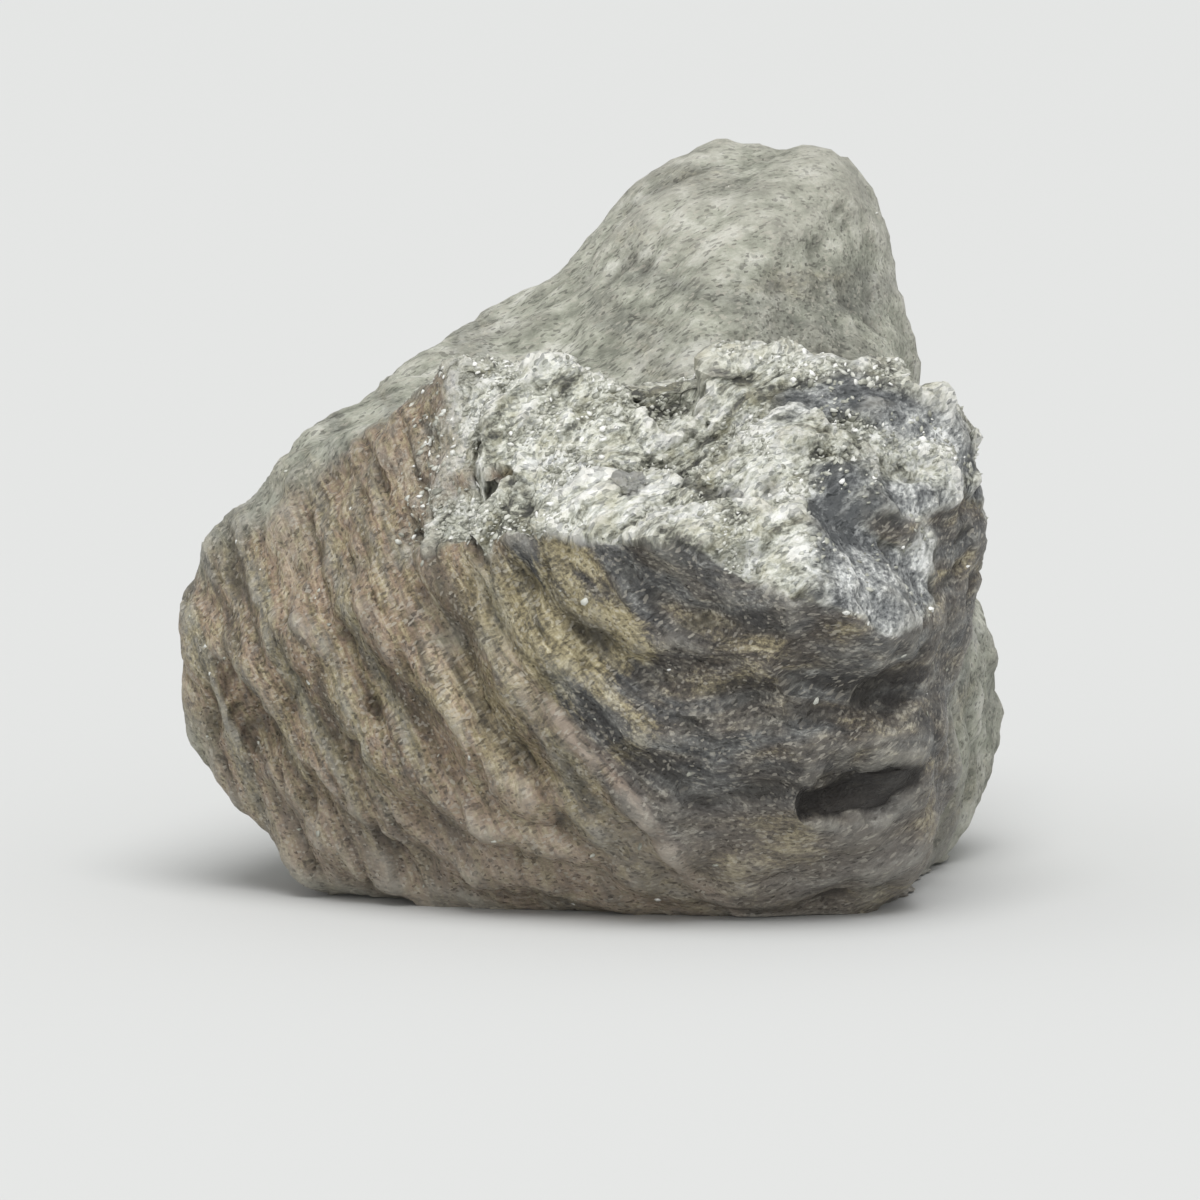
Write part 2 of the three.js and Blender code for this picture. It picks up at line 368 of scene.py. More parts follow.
MICA_SCALES = (
    (0, (0.55, 0.56, 0.57)),
    (0.4, (0.85, 0.86, 0.85)),
    (0.8, (1, 1, 0.98)),
    (1, (1, 1, 1)),
)
MICA_PLATES = (
    (0, (0.26, 0.262, 0.22)),
    (0.5, (0.44, 0.445, 0.38)),
    (0.85, (0.62, 0.625, 0.57)),
    (1, (0.9, 0.9, 0.87)),
)
WHITE = (1.0, 1.0, 1.0)

# The split face is darker on its rim, lighter on crests as a painted highlight, and varies from patch to
# patch
SILVER_RIM = -0.06
SILVER_CREST_HIGHLIGHT = 0.3
SILVER_PATCHES = (0.4, 0.6, -0.48, 0.28)

# Colours over colours: where in a pattern they start and end, and their share at each end
OLIVE_BLOTCHES = (0.5, 0.66, 0.0, 0.5)
OLIVE_COLOUR = (0.46, 0.435, 0.29)
BROWN_LENSES = (0.42, 0.58)
TAN_STAINS = (0.98, 1.14)
DARK_SHADOWS = (0.36, 0.48, 0.65, 0.0)
SHADOW_COLOUR = (0.03, 0.028, 0.027)
TAN_TINTS = (0.5, 0.66, 0.0, 0.75)
DULL_BANDS = (0.38, 0.48, 0.35, 0.0)
TAN_GRAINS = (0.48, 0.6, 0.0, 0.75)
BLUE_GRAINS = (0.36, 0.47, 0.5, 0.0)
DARK_LENSES = (0.36, 0.48, 0.7, 0.0)
LENS_COLOUR = (0.06, 0.05, 0.036)
SEAM_THREADS = (0.38, 0.54, 0.15, 0.95)
SEAM_COLOUR = (0.36, 0.28, 0.22)
# Painted bounce light on the foot
FOOT_BOUNCE_LIGHT_SHARE = 0.4
FOOT_BOUNCE_LIGHT_COLOUR = (0.36, 0.315, 0.265)
WORN_BANDS = (0.4, 0.5, 0.65, 1.0)
# Painted glints: pale specks in a few of the glitter cells
GLINT_CELLS = (0.86, 0.95, 0.0, 0.5)
PAINTED_GLINT_COLOUR = (0.5, 0.47, 0.4)
DARK_CELLS = (0.08, 0.22, 0.5, 0.0)
DARK_CELL_COLOUR = (0.03, 0.027, 0.023)
# Crests are painted paler: partly worn edges, partly a painted highlight
CREST_WEAR_AND_HIGHLIGHT_SHARE = 0.35
CREST_WEAR_AND_HIGHLIGHT_COLOUR = (0.5, 0.48, 0.42)
# Painted shade in grooves, less of it on the split face
GROOVE_SHADE_ON_SPLIT = (0, 1, 0.75, 0.5)
GROOVE_SHADE_COLOUR = (0.03, 0.027, 0.022)
# Painted shade in the hollows
HOLLOW_SHADE_SHARE = 0.9
HOLLOW_SHADE_COLOUR = (0.02, 0.017, 0.015)

# Glitter: cells a mm of the stone and of a flake, how far they tilt, how rough they are, and the height
# of bumps
STONE_CELLS = (3.2, 7, 10)
STONE_TILT = (0, 1, 0.35, 0.8)
STONE_ROUGH = (0, 1, 0.25, 0.7)
WORN_ROUGH = (0, 1, 0.2, 0.6)
FLAKE_CELLS = (1.5, 3, 3)
FLAKE_TILT = 0.3
FLAKE_ROUGH = (0, 1, 0.2, 0.55)
CELL_MIDDLE = (0.5, 0.5, 0.5)
BUMP_HEIGHT = 0.3 * MM

# Flakes of mica: how many, sides, length, how much shorter some are, width to length, thickness and how
# they sink in
FLAKES = 6000
FLAKE_SEED = 5
FLAKE_SIDES = 6
FLAKE_SIZE = (0.2, 0.6)
FLAKE_SHORTER = (0.5, 1)
FLAKE_SLIM = (0.3, 0.8)
FLAKE_REACH = (0.35, 0.55)
FLAKE_TURN = 0.3
FLAKE_THICKNESS = 0.05
FLAKE_SINK = 0.03

# Flakes lean towards the sheets and along the grain, each a little its own way
FLAKE_SHEETS = 0.3
FLAKE_LEAN = 0.2
FLAKE_STRAY = 0.5

# Flakes lie in clumps, fewer on slate and few off the split face, and this far from the sides of the
# solid's box
FLAKE_CLUMPS = (2.6, 20)
FLAKE_CLUMP_EDGE = (-0.15, 0.35)
FLAKE_FEWER_ON_SLATE = 0.8
FLAKE_ELSEWHERE = 0.0015
FLAKE_MARGIN = 0.4

# The least length of a vector
TINY = 1e-12

# Numbers that scatter whole numbers at random
CHANCE_WAVES = (12.9898, 78.233, 37.719)
CHANCE_SPREAD = 43758.5453


def smoothstep(values, low, high):
    share = np.clip((values - low) / (high - low), 0, 1)
    return share * share * (3 - 2 * share)


def border(values, wander, wide, start, end):
    """0 before a border and 1 past it. The border wanders that wide."""
    return smoothstep(values + wide * wander, start, end)


def unit(vectors):
    return vectors / np.maximum(np.linalg.norm(vectors, axis=1, keepdims=True), TINY)


def lumps(places, size, layer):
    """Smooth noise from about -1 to 1 with lumps of that size, one number or one for each axis."""
    shifted = places / np.asarray(size) + LAYER_SHIFT * layer
    return np.array([noise.noise(p) for p in shifted.tolist()])


def rolling(places, *patterns):
    """The sum of smooth noises, each with size, layer and height."""
    return sum(height * lumps(places, size, layer) for size, layer, height in patterns)


def chance(keys):
    """Random numbers from -1 to 1, the same for the same whole numbers."""
    return np.modf(np.abs(np.sin(keys @ np.array(CHANCE_WAVES)) * CHANCE_SPREAD))[0] * 2 - 1


def chips(places, size, layer):
    """Angular noise from about -1 to 1: flat facets of that size, one number or one for each axis."""
    scaled = places / np.asarray(size) + LAYER_SHIFT * layer
    corner = np.floor(scaled)
    part = scaled - corner
    order = np.argsort(-part, axis=1)
    part = np.column_stack((np.take_along_axis(part, order, axis=1), np.zeros(len(places))))
    rows = np.arange(len(places))
    total = (1 - part[:, 0]) * chance(corner)
    for step in range(3):
        corner[rows, order[:, step]] += 1
        total += (part[:, step] - part[:, step + 1]) * chance(corner)
    return total


def chipped(places, *patterns):
    """The sum of angular noises, each with size, layer and height."""
    return sum(height * chips(places, size, layer) for size, layer, height in patterns)


def about(places, middle, reach):
    """1 at an x and z, as seen from the front, and less the farther from it."""
    away = places[:, [0, 2]] - np.array(middle)
    return np.exp(-(away ** 2).sum(axis=1) / reach ** 2)


def sides_of(triangles):
    return np.sort(triangles[:, [[0, 1], [1, 2], [2, 0]]].reshape(-1, 2), axis=1)


def halved(places, triangles):
    """The same surface with each edge cut in half, so that each triangle becomes four."""
    edges, cut = np.unique(sides_of(triangles), axis=0, return_inverse=True)
    cut = cut.reshape(-1, 3) + len(places)
    (a, b, c), (ab, bc, ca) = triangles.T, cut.T
    quarters = ((a, ab, ca), (ab, b, bc), (ca, bc, c), (ab, bc, ca))
    smaller = np.concatenate([np.column_stack(quarter) for quarter in quarters])
    return np.concatenate((places, places[edges].mean(axis=1))), smaller


class Surface:
    """A closed surface of triangles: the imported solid's, with each of its triangles cut in small ones."""

    def __init__(self):
        mesh = bmesh.new()
        mesh.from_mesh(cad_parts[STONE].data)
        bmesh.ops.remove_doubles(mesh, verts=mesh.verts, dist=SAME_PLACE * MM)
        self.places = np.array([vertex.co for vertex in mesh.verts]) / MM
        self.triangles = np.array([[vertex.index for vertex in face.verts] for face in mesh.faces])
        mesh.free()
        for _ in range(CUTS):
            self.places, self.triangles = halved(self.places, self.triangles)
        self.edges = np.unique(sides_of(self.triangles), axis=0)
        self.neighbours = np.bincount(self.edges.ravel(), minlength=len(self.places))
        self.resting = self.places[:, 2] < RESTING_HEIGHT

    def means(self, values):
        """The mean of each point's neighbours."""
        if values.ndim > 1:
            return np.column_stack([self.means(column) for column in values.T])
        start, end = self.edges.T
        count = len(self.places)
        total = np.bincount(start, values[end], count) + np.bincount(end, values[start], count)
        return total / self.neighbours

    def blurred(self, values, rounds):
        for _ in range(rounds):
            values = (values + self.means(values)) / 2
        return values

    def move_to(self, places):
        """Moves the points. The resting face stays flat."""
        places[self.resting, 2] = 0
        self.places = places

    def relax(self, rounds, shrink=0.5, swell=-0.52):
        """Rounds the facets off without making the stone smaller."""
        for _ in range(rounds):
            for share in (shrink, swell):
                self.move_to(self.places + share * (self.means(self.places) - self.places))

    def smooth_where(self, share, rounds):
        """Takes the relief away where the share is 1."""
        self.move_to(self.places + share[:, None] * (self.blurred(self.places, rounds) - self.places))

    def sharpen(self, rounds, share):
        """Brings edges, ridges and hollows out more. It fades out at the resting face."""
        fade = share * smoothstep(self.places[:, 2], *SHARPEN_FADE)
        self.move_to(self.places + fade[:, None] * (self.places - self.blurred(self.places, rounds)))

    def normals(self):
        a, b, c = (self.places[self.triangles[:, i]] for i in range(3))
        across = np.cross(b - a, c - a)
        count = len(self.places)
        total = np.zeros((count, 3))
        for corner in self.triangles.T:
            total += np.column_stack([np.bincount(corner, part, count) for part in across.T])
        return unit(total)

    def raise_by(self, heights):
        """Moves the surface out along its normals. It fades out at the resting face."""
        fade = smoothstep(self.places[:, 2], *RELIEF_FADE)
        self.move_to(self.places + self.normals() * (heights * fade)[:, None])

    def sunk(self, rounds):
        """How far each point lies below the mean of those about it."""
        return ((self.blurred(self.places, rounds) - self.places) * self.normals()).sum(axis=1)


def fabric_of(places):
    """Places along the grain, across it and through the sheets, which are gently bent."""
    through = places @ SHEET_NORMAL + rolling(places, *SHEET_BENDS)
    return np.column_stack((places @ GRAIN_ALONG, places @ GRAIN_ACROSS, through))


def streaks_of(places):
    """Places along the streaks of the broken front, across them and in depth. The streaks fan out."""
    x, y, z = places.T
    fall = FAN_SLOPE * x + FAN_CHANGE * FAN_WIDTH * np.log(np.cosh((x - FAN_MIDDLE) / FAN_WIDTH))
    across = z - fall + rolling(places, *STREAK_BENDS)
    return np.column_stack(((x - z) * math.sqrt(0.5), across, y))


def seam_of(places):
    """How far a place lies to the right of the seam that runs down the front, and how far along it."""
    away = places[:, [0, 2]] - np.array(SEAM_TOP)
    run = np.array(SEAM_FOOT) - np.array(SEAM_TOP)
    length = np.linalg.norm(run)
    run = run / length
    return np.minimum(away @ np.array((-run[1], run[0])), away[:, 0]), away @ run / length


def hollow_depth(places):
    """How deep the hollows are cut."""
    depth = np.zeros(len(places))
    ragged = chipped(places, HOLLOW_CHIPS) + rolling(places, HOLLOW_LUMPS)
    for at, along, length, width, deep in HOLLOWS:
        away = places[:, [0, 2]] - np.array(at)
        along = np.array(along) / np.linalg.norm(along)
        lengthwise = away @ along
        across = away @ np.array((-along[1], along[0])) + ragged
        outline = np.abs(2 * lengthwise / length) ** HOLLOW_POWER
        outline += np.abs(2 * across / width) ** HOLLOW_POWER
        depth += deep * smoothstep(1 - outline, 0, HOLLOW_WALL)
    return depth * (places[:, 1] < HOLLOW_BACK)


def worn_of(surface, facing, wander):
    """Where the stone is worn: behind, on top behind the crest, and wherever it faces back."""
    x, y, _ = surface.places.T
    broad = lumps(surface.places, *WORN_BROAD) + WORN_BROAD_WANDER * wander
    worn = border(y + WORN_RIGHT_FORWARD * np.maximum(x - WORN_RIGHT, 0), broad, *WORN_BORDER)
    top = border(facing[:, 2], wander, *WORN_TOP_FACING) * border(y, wander, *WORN_TOP_BORDER)
    worn = np.maximum(worn, top)
    worn = np.maximum(worn, smoothstep(facing[:, 1], *WORN_BACK_FACING))
    return border(surface.blurred(worn, WORN_ROUNDS), wander, *WORN_EDGE)


def split_of(places, facing, wander):
    """Where the stone is split along its sheets, and the rim of that face."""
    x, y, z = places.T
    above = z - np.interp(x, *np.array(LIP).T)
    split = border(facing[:, 2], wander, *SPLIT_FACING) * (1 - border(y, wander, *SPLIT_CREST))
    split *= border(above, wander, *SPLIT_LIP) * border(x, wander, *SPLIT_LEFT)
    rim = (1 - border(above, wander, *RIM_LIP)) * smoothstep(y, *RIM_FRONT)
    return split, split * np.maximum(rim, border(z, wander, *RIM_TOP))


def masks_of(surface):
    """Where the stone is split along its sheets, ridged, stained or worn, where shade is painted in its
    hollows and where light is painted on its foot.
    """
    places = surface.places
    x, _, z = places.T
    facing = surface.blurred(surface.normals(), FACING_ROUNDS)
    wander = rolling(places, *WANDER)
    worn = worn_of(surface, facing, wander)
    split, rim = split_of(places, facing, wander)
    right, down = seam_of(places)
    ridged = border(-right, wander, *RIDGED_EDGE) * (1 - worn) * (1 - split)
    grey = border(lumps(places, *SLATE_PATCHES), wander, *SLATE_PATCH_EDGE)
    grey = np.maximum(grey, 1 - border(z, wander, *SLATE_FOOT))
    away = (places - np.array(OLIVE_MIDDLE)) / np.array(OLIVE_REACH)
    olive = 1 - border(np.linalg.norm(away, axis=1), wander, *OLIVE_EDGE)
    seam = np.exp(-((right + SEAM_WANDER * wander) / SEAM_WIDTH) ** 2)
    seam *= smoothstep(down, *SEAM_START) * (1 - worn)
    front = (facing[:, 1] < 0) * (1 - split)
    return {
        # the foot, where light bounced up from below is painted
        "low": (1 - border(z, wander, *FOOT_BOUNCE_LIGHT_TOP)) * (1 - worn),
        "rim": rim,
        # painted shade in the hollows
        "hollow": smoothstep(hollow_depth(places), *HOLLOW_SHADE_DEPTHS),
        "split": split,
        "worn": worn,
        "ridged": ridged,
        "slate": split * border(x, wander, *SLATE_RIGHT) * grey,
        "olive": olive * front,
        "seam": seam * front,
    }


def ledges(through, thickness):
    """Steps from sheet to sheet."""
    along = np.mod(through / thickness, 1)
    return (smoothstep(along, 0.5 - LEDGE_STEP / 2, 0.5 + LEDGE_STEP / 2) - along) * thickness


def ridges(through, spacing):
    """Edges of sheets that stand out: round crests and narrow grooves."""
    return np.abs(np.cos(math.pi * through / spacing)) ** RIDGE_POWER - RIDGE_SINK


def breaks_of(places, size):
    """How strong ridges are from place to place."""
    return np.clip(BREAK_MEAN + BREAK_CHANGE * lumps(places, size, BREAK_LAYER), 0, BREAK_MOST)


def pits(places, size, layer, edge, depth):
    return -depth * smoothstep(lumps(places, size, layer), *edge)


def give_form(surface, masks):
    """Softens, moves and sharpens the larger forms of the stone."""
    surface.smooth_where(RIDGED_SMOOTHED_SHARE * masks["ridged"], RIDGED_SMOOTHED_ROUNDS)
    for middle, reach, rounds in SMOOTHED:
        front = surface.places[:, 1] < SMOOTHED_BACK
        surface.smooth_where(SMOOTHED_SHARE * about(surface.places, middle, reach) * front, rounds)
    front = 1 - smoothstep(surface.places[:, 1], *SHOULDER_BACK)
    shoulder = about(surface.places, SHOULDER_MIDDLE, SHOULDER_REACH) * front
    surface.move_to(surface.places + shoulder[:, None] * np.array(SHOULDER_MOVE))
    lobe = smoothstep(surface.places[:, 2], *LOBE_TOP)
    surface.smooth_where(lobe, LOBE_ROUNDS)
    surface.raise_by(LOBE_RISE * lobe)
    less = SHARPEN_LESS_SPLIT * masks["split"] + SHARPEN_LESS_RIDGED * masks["ridged"]
    surface.sharpen(SHARPEN_ROUNDS, SHARPEN_SHARE - less)


def give_relief(surface, masks):
    """The relief of broken schist. Returns the surface's places in the fabric and in the streaks."""
    worn, ridged = masks["worn"], masks["ridged"]
    plain = (1 - masks["split"]) * (1 - ridged) * (1 - worn)
    rough = masks["split"] * (1 - SLATE_SMOOTHER * masks["slate"])
    fabric = fabric_of(surface.places)
    through = fabric[:, 2]
    angular = chipped(fabric, ANGULAR)
    surface.raise_by(-hollow_depth(surface.places))
    surface.raise_by(chipped(fabric, *BLOCKS) * (1 - BLOCKS_LOWER * (worn + ridged)))
    surface.raise_by(SEAM_RISE * masks["seam"])
    ragged = through + LEDGE_ANGULAR * angular + chipped(fabric, LEDGE_CHIPS)
    surface.raise_by(sum(share * ledges(ragged, thickness) for thickness, share in LEDGES) * rough)
    breaks = breaks_of(fabric, WORN_BREAKS)
    for spacing, shift, height in WORN_RIBS:
        surface.raise_by(height * ridges(through + shift * angular, spacing) * breaks * worn)
    surface.raise_by(chipped(fabric, WORN_CHIPS) * worn)
    streaks = streaks_of(surface.places)
    across = streaks[:, 1] + FRONT_SHIFT * angular
    breaks = breaks_of(streaks, FRONT_BREAKS)
    for spacing, on_ridged, on_plain in FRONT_RIDGES:
        surface.raise_by(ridges(across, spacing) * breaks * (on_ridged * ridged + on_plain * plain))
    for pattern in FRONT_CHIPS:
        surface.raise_by(chipped(streaks, pattern) * (ridged + plain))
    for pattern, (anywhere, on_split, on_worn, on_ridged) in FINE_CHIPS:
        share = anywhere + on_split * rough + on_worn * worn + on_ridged * ridged
        surface.raise_by(chipped(fabric, pattern) * share)
    surface.raise_by(pits(fabric, *SPLIT_PITS) * rough)
    pitted = 1 - about(surface.places, UNPITTED_MIDDLE, UNPITTED_REACH)
    surface.raise_by(pits(streaks, *FRONT_PITS) * (plain + RIDGED_PITS * ridged) * pitted)
    surface.raise_by(chipped(surface.places, *WORN_DENTS) * worn)
    return fabric, streaks


def fitted(places):
    """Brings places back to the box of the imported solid."""
    low, high = (np.array(corner) / MM for corner in cad_box)
    lowest, highest = places.min(axis=0), places.max(axis=0)
    return low + (places - lowest) * (high - low) / (highest - lowest)


def attribute(mesh, name, values):
    """Stores a number or a vector for each point of a mesh."""
    kind, field = ("FLOAT", "value") if values.ndim == 1 else ("FLOAT_VECTOR", "vector")
    made = mesh.attributes.new(name, kind, "POINT")
    made.data.foreach_set(field, values.astype(np.float32).ravel())


def mesh_of(name, places, triangles):
    """A mesh in metres from places in mm."""
    mesh = bpy.data.meshes.new(name)
    mesh.vertices.add(len(places))
    mesh.vertices.foreach_set("co", (places * MM).astype(np.float32).ravel())
    mesh.loops.add(triangles.size)
    mesh.loops.foreach_set("vertex_index", triangles.astype(np.int32).ravel())
    mesh.polygons.add(len(triangles))
    mesh.polygons.foreach_set("loop_start", np.arange(0, triangles.size, 3, dtype=np.int32))
    mesh.update(calc_edges=True)
    mesh.validate()
    return mesh


def piece_of(mesh, material):
    piece = bpy.data.objects.new(mesh.name, mesh)
    bpy.context.scene.collection.objects.link(piece)
    mesh.materials.append(material)
    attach(piece, "root")
    return piece


class Nodes:
    """Adds shader nodes to a tree and links them."""

    def __init__(self, tree):
        self.tree = tree

    def put(self, value, socket):
        """Links a socket to what another node gives, or sets it."""
        if isinstance(value, bpy.types.NodeSocket):
            self.tree.links.new(value, socket)
        else:
            socket.default_value = (*value, 1) if socket.type == "RGBA" else value

    def add(self, kind, inputs=None, **settings):
        node = self.tree.nodes.new(kind)
        for name, value in settings.items():
            setattr(node, name, value)
        for name, value in (inputs or {}).items():
            self.put(value, node.inputs[name])
        return node

    def value(self, operation, *inputs):
        return self.add("ShaderNodeMath", dict(enumerate(inputs)), operation=operation).outputs[0]

    def vector(self, operation, *inputs):
        return self.add("ShaderNodeVectorMath", dict(enumerate(inputs)), operation=operation).outputs[0]

    def total(self, *parts):
        """The sum of values, each times its share."""
        terms = [self.value("MULTIPLY", value, share) for value, share in parts]
        result = terms[0]
        for term in terms[1:]:
            result = self.value("ADD", result, term)
        return result

    def mask(self, name):
        return self.add("ShaderNodeAttribute", attribute_name=name).outputs["Fac"]

    def place(self, name):
        return self.add("ShaderNodeAttribute", attribute_name=name).outputs["Vector"]

    def noise(self, place, scale, detail, roughness):
        scaled = self.vector("MULTIPLY", place, scale)
        inputs = {"Vector": scaled, "Scale": 1, "Detail": detail, "Roughness": roughness}
        return self.add("ShaderNodeTexNoise", inputs).outputs["Fac"]

    def ramp(self, share, stops):
        node = self.add("ShaderNodeValToRGB", {"Fac": share})
        elements = node.color_ramp.elements
        while len(elements) < len(stops):
            elements.new(0.5)
        for element, (position, colour) in zip(elements, stops):
            element.position = position
            element.color = (*colour, 1)
        return node.outputs["Color"]

    def mix(self, share, under, over, blend="MIX"):
        """One colour over another. The node's colours are its inputs 6 and 7, and its output 2."""
        inputs = {0: share, 6: under, 7: over}
        return self.add("ShaderNodeMix", inputs, data_type="RGBA", blend_type=blend).outputs[2]

    def range(self, value, low, high, to_low=0.0, to_high=1.0):
        inputs = {"Value": value, "From Min": low, "From Max": high, "To Min": to_low, "To Max": to_high}
        return self.add("ShaderNodeMapRange", inputs).outputs["Result"]


def glitter_group():
    """Mica glitter: flat facets of a size, each tilted its own way."""
    group = bpy.data.node_groups.new("mica_glitter", "ShaderNodeTree")
    face = group.interface
    face.new_socket("Place", in_out="INPUT", socket_type="NodeSocketVector")
    face.new_socket("Tilt", in_out="INPUT", socket_type="NodeSocketFloat")
    face.new_socket("Normal", in_out="OUTPUT", socket_type="NodeSocketVector")
    face.new_socket("Shade", in_out="OUTPUT", socket_type="NodeSocketFloat")
    nodes = Nodes(group)
    given = nodes.add("NodeGroupInput")
    cell = nodes.add("ShaderNodeTexVoronoi", {"Vector": given.outputs["Place"], "Scale": 1})
    lean = nodes.vector("SUBTRACT", cell.outputs["Color"], CELL_MIDDLE)
    inputs = {0: lean, "Scale": given.outputs["Tilt"]}
    scaled = nodes.add("ShaderNodeVectorMath", inputs, operation="SCALE")
    surface = nodes.add("ShaderNodeNewGeometry")
    tilted = nodes.vector("ADD", surface.outputs["Normal"], scaled.outputs[0])
    parts = nodes.add("ShaderNodeSeparateColor", {"Color": cell.outputs["Color"]})
    results = {"Normal": nodes.vector("NORMALIZE", tilted), "Shade": parts.outputs["Blue"]}
    nodes.add("NodeGroupOutput", results)
    return group


def new_material(name):
    """A material without nodes, and what adds them."""
    material = bpy.data.materials.new(name)
    material.use_nodes = True
    material.node_tree.nodes.clear()
    return material, Nodes(material.node_tree)


def add_glitter(nodes, glitter, cells, tilt):
    """Glitter with that many cells a mm. Returns its normal and its shade."""
    place = nodes.vector("MULTIPLY", nodes.place("fabric"), cells)
    node = nodes.add("ShaderNodeGroup", node_tree=glitter)
    nodes.put(place, node.inputs["Place"])
    nodes.put(tilt, node.inputs["Tilt"])
    return node.outputs["Normal"], node.outputs["Shade"]


def add_shader(nodes, colour, rough, normal):
    inputs = {"Base Color": colour, "Roughness": rough, "Normal": normal}
    shader = nodes.add("ShaderNodeBsdfPrincipled", inputs)
    nodes.add("ShaderNodeOutputMaterial", {"Surface": shader.outputs[0]})


def values_of(nodes):
    """The masks, the patterns and the sums that the colours follow, by name."""
    values = {name: nodes.mask(name) for name in MASKS}
    for kind, patterns in PATTERNS.items():
        place = nodes.place(kind)
        for name, pattern in patterns.items():
            values[name] = nodes.noise(place, *pattern)
    for name, parts in SUMS.items():
        values[name] = nodes.total(*((values[part], share) for part, share in parts))
    return values


def kinds_of(nodes, values):
    """The colours of each kind of stone, by name."""
    shade = nodes.range(values["split_grain"], *GRAIN_RANGE)
    front = nodes.range(values["front_grain"], *GRAIN_RANGE)
    banded = nodes.range(values["banded_grain"], *BANDED_RANGE)
    mottled = nodes.range(values["worn_grain"], *WORN_RANGE)
    patchy = nodes.range(values["patches"], *SILVER_PATCHES)
    rim, crest = (values["rim"], SILVER_RIM), (values["crest"], SILVER_CREST_HIGHLIGHT)
    lively = nodes.total((shade, 1), rim, (patchy, 1), crest)
    silver = nodes.ramp(lively, SILVER)
    return {
        "blue": nodes.ramp(front, BLUE_GREY),
        "brown": nodes.ramp(front, BROWN),
        "tan": nodes.ramp(front, TAN),
        "mauve": nodes.ramp(banded, MAUVE),
        "dull": nodes.ramp(mottled, DULL_GREEN),
        "slate": nodes.ramp(lively, SLATE_GREY),
        "silver": nodes.mix(nodes.range(values["blotches"], *OLIVE_BLOTCHES), silver, OLIVE_COLOUR),
    }


def front_colour(nodes, values, kinds):
    """The dark front: blue-grey and brown lenses with tan stains and dark shadows."""
    colour = nodes.mix(nodes.range(values["lenses"], *BROWN_LENSES), kinds["blue"], kinds["brown"])
    colour = nodes.mix(nodes.range(values["stains"], *TAN_STAINS), colour, kinds["tan"])
    return nodes.mix(nodes.range(values["shadows"], *DARK_SHADOWS), colour, SHADOW_COLOUR)


def ridged_colour(nodes, values, kinds):
    """The ridged left: mauve bands with tan, dull green, blue-grey and dark in them."""
    colour = kinds["mauve"]
    for pattern, borders, over in (
        ("tints", TAN_TINTS, kinds["tan"]),
        ("bands", DULL_BANDS, kinds["dull"]),
        ("grains", TAN_GRAINS, kinds["tan"]),
        ("grains", BLUE_GRAINS, kinds["blue"]),
        ("lenses", DARK_LENSES, LENS_COLOUR),
    ):
        colour = nodes.mix(nodes.range(values[pattern], *borders), colour, over)
    return colour


def schist_colour(nodes, values, cells):
    """All the colours of the stone, one over the other."""
    kinds = kinds_of(nodes, values)
    front = front_colour(nodes, values, kinds)
    ridged = ridged_colour(nodes, values, kinds)
    seamed = nodes.value("MULTIPLY", values["seam"], nodes.range(values["threads"], *SEAM_THREADS))
    weathered = nodes.value("MULTIPLY", values["worn"], nodes.range(values["bands"], *WORN_BANDS))
    groove_shaded = nodes.value("MULTIPLY", values["groove_shade"], nodes.range(values["split"], *GROOVE_SHADE_ON_SPLIT))
    colour = nodes.mix(values["ridged"], front, ridged)
    for share, over in (
        (seamed, SEAM_COLOUR),
        # painted bounce light on the foot
        (nodes.value("MULTIPLY", values["low"], FOOT_BOUNCE_LIGHT_SHARE), FOOT_BOUNCE_LIGHT_COLOUR),
        (weathered, kinds["dull"]),
        # painted glints as pale specks
        (nodes.range(cells, *GLINT_CELLS), PAINTED_GLINT_COLOUR),
        (nodes.range(cells, *DARK_CELLS), DARK_CELL_COLOUR),
        (values["split"], kinds["silver"]),
        (values["slate"], kinds["slate"]),
        # paler crests: partly worn edges, partly a painted highlight
        (nodes.value("MULTIPLY", values["crest"], CREST_WEAR_AND_HIGHLIGHT_SHARE), CREST_WEAR_AND_HIGHLIGHT_COLOUR),
        # painted shade in the grooves
        (groove_shaded, GROOVE_SHADE_COLOUR),
        # painted shade in the hollows
        (nodes.value("MULTIPLY", values["hollow"], HOLLOW_SHADE_SHARE), HOLLOW_SHADE_COLOUR),
    ):
        colour = nodes.mix(share, colour, over)
    scales = nodes.mix(values["split"], WHITE, nodes.ramp(cells, MICA_SCALES))
    return nodes.mix(1.0, colour, scales, "MULTIPLY")


def schist_material(glitter):
    material, nodes = new_material("schist")
    values = values_of(nodes)
    tilt = nodes.range(values["split"], *STONE_TILT)
    normal, cells = add_glitter(nodes, glitter, STONE_CELLS, tilt)
    colour = schist_colour(nodes, values, cells)
    inputs = {"Strength": 1, "Distance": BUMP_HEIGHT, "Height": values["bumps"], "Normal": normal}
    bump = nodes.add("ShaderNodeBump", inputs)
    rough = nodes.range(cells, *STONE_ROUGH)
    rough = nodes.value("MAXIMUM", rough, nodes.range(values["worn"], *WORN_ROUGH))
    add_shader(nodes, colour, rough, bump.outputs[0])
    return material


def mica_material(glitter):
    material, nodes = new_material("mica")
    colour = nodes.ramp(nodes.mask("shade"), MICA_PLATES)
    normal, cells = add_glitter(nodes, glitter, FLAKE_CELLS, FLAKE_TILT)
    add_shader(nodes, colour, nodes.range(cells, *FLAKE_ROUGH), normal)
    return material


